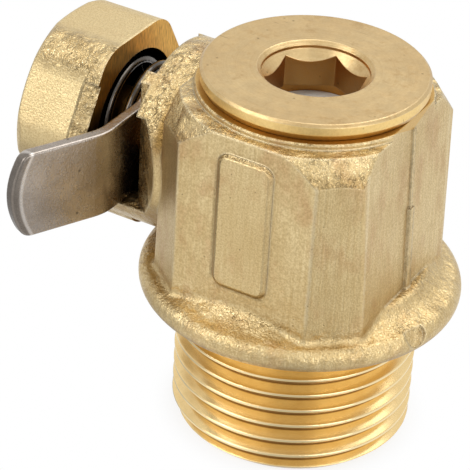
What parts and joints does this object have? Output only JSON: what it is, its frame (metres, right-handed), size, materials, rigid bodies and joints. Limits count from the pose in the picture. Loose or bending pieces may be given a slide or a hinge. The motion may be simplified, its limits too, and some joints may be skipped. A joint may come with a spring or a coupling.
{
  "type": "oil drain valve",
  "caption": "Brass ball valve that screws into an oil sump; pull the sprung steel lever out of its notch and turn it a quarter turn to drain.",
  "frame": {"origin": "on the thread's axis, in the underside of the collar", "axes": "+Z from the thread up to the outlet, -X along the stem out to the lever housing, -Y the way the closed lever points"},
  "size_m": [0.0362, 0.0301, 0.0321],
  "materials": {
    "forged_brass": "blasted forging, machined where it works",
    "turned_brass": "turned",
    "nitrile": "moulded",
    "ptfe": "machined",
    "plated_ball": "polished plating",
    "stem_brass": "turned",
    "lever_steel": "tumbled",
    "spring_steel": "drawn wire",
    "washer_steel": "pressed",
    "ring_steel": "oiled black"
  },
  "bodies": {
    "body": {"valve_body": "forged_brass", "outlet_plug": "turned_brass", "plug_o_ring": "nitrile", "outlet_seat": "ptfe", "inlet_seat": "ptfe", "thrust_washer": "ptfe", "spring_washer": "washer_steel", "retaining_ring": "ring_steel", "lever_spring": "spring_steel"},
    "stem": {"stem": "stem_brass", "valve_ball": "plated_ball", "stem_o_ring_inner": "nitrile", "stem_o_ring_outer": "nitrile"},
    "lever": {"lever": "lever_steel"}
  },
  "joints": [
    {"name": "lever_turn", "type": "hinge", "parent": "body", "child": "stem", "pos_m": [0, 0, 0.01035], "axis": [-1, 0, 0], "range_deg": [0, 90]},
    {"name": "lever_lift", "type": "slide", "parent": "stem", "child": "lever", "axis": [-1, 0, 0], "range_m": [-0.00085, 0.001], "stiffness_N_per_m": 1200, "springref_m": -0.004, "deforming": ["lever_spring"]}
  ]
}
